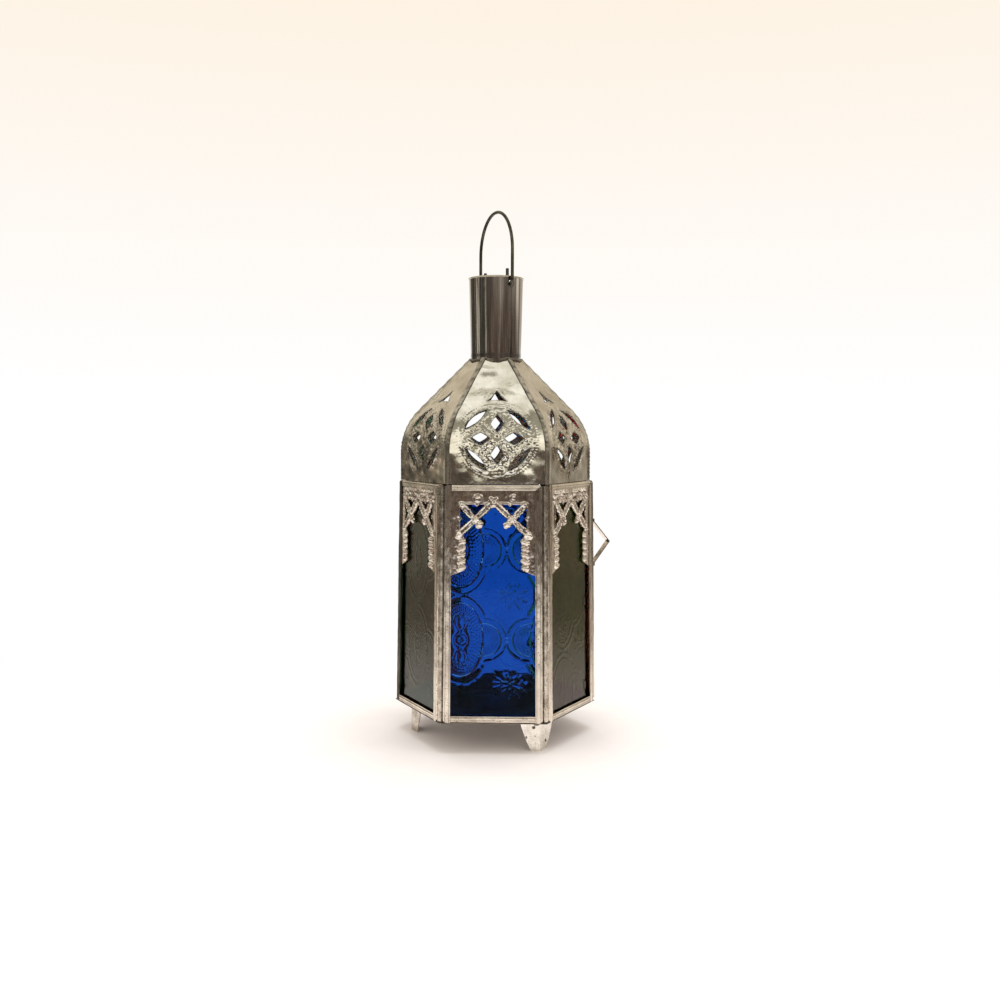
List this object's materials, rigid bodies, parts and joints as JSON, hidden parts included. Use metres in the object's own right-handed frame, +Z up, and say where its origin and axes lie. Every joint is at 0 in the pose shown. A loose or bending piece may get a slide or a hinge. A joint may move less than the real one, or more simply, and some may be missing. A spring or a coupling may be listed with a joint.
{
  "type": "candle holder",
  "caption": "Six-sided tin and glass tea-light lantern with a pierced dome on a round neck, a hinged glass door, a hooked wire bail and folded tin feet.",
  "frame": {"origin": "on the ground under the upright axis of the lantern", "axes": "+Z up the axis; the front pane faces -Y; the door is the pane between +X and +Y, hinged on its edge towards +Y with its pull towards +X"},
  "size_m": [0.1109, 0.0905, 0.264],
  "materials": {
    "tin": "dull tinned sheet",
    "dome_tin": "bright tinned sheet",
    "neck_tin": "bright tinned sheet",
    "wire": "dark bare wire",
    "blue_glass": "blue figured glass",
    "red_glass": "red figured glass",
    "green_glass": "green figured glass"
  },
  "bodies": {
    "lantern": {"floor_plate": "tin", "candle_cup": "tin", "foot_front": "tin", "foot_back": "tin", "foot_left": "tin", "front_left_stile": "tin", "front_right_stile": "tin", "front_top_rail": "tin", "front_bottom_rail": "tin", "front_fret": "tin", "front_glass": "blue_glass", "right_left_stile": "tin", "right_right_stile": "tin", "right_top_rail": "tin", "right_bottom_rail": "tin", "right_fret": "tin", "right_glass": "red_glass", "back_left_stile": "tin", "back_right_stile": "tin", "back_top_rail": "tin", "back_bottom_rail": "tin", "back_fret": "tin", "back_glass": "blue_glass", "back_left_left_stile": "tin", "back_left_right_stile": "tin", "back_left_top_rail": "tin", "back_left_bottom_rail": "tin", "back_left_fret": "tin", "back_left_glass": "red_glass", "left_left_stile": "tin", "left_right_stile": "tin", "left_top_rail": "tin", "left_bottom_rail": "tin", "left_fret": "tin", "left_glass": "green_glass", "front_petal": "dome_tin", "right_petal": "dome_tin", "back_right_petal": "dome_tin", "back_petal": "dome_tin", "back_left_petal": "dome_tin", "left_petal": "dome_tin", "neck": "neck_tin", "body_knuckle_upper": "tin", "hinge_pin_upper": "wire", "body_knuckle_lower": "tin", "hinge_pin_lower": "wire"},
    "door": {"door_free_stile": "tin", "door_hinge_stile": "tin", "door_top_rail": "tin", "door_bottom_rail": "tin", "door_fret": "tin", "door_knuckle_upper": "tin", "door_knuckle_lower": "tin", "door_pull": "tin", "door_glass": "green_glass"},
    "bail": {"bail": "wire"}
  },
  "joints": [
    {"name": "door_hinge", "type": "hinge", "parent": "lantern", "child": "door", "pos_m": [0.02559, 0.04432, 0.0151], "axis": [-0.0082, -0.0142, 0.9999], "range_deg": [-1.5, 148.5]},
    {"name": "bail_swing", "type": "hinge", "parent": "lantern", "child": "bail", "pos_m": [0, 0, 0.2267], "axis": [0.5446, -0.8387, 0], "range_deg": [-55, 55]}
  ]
}
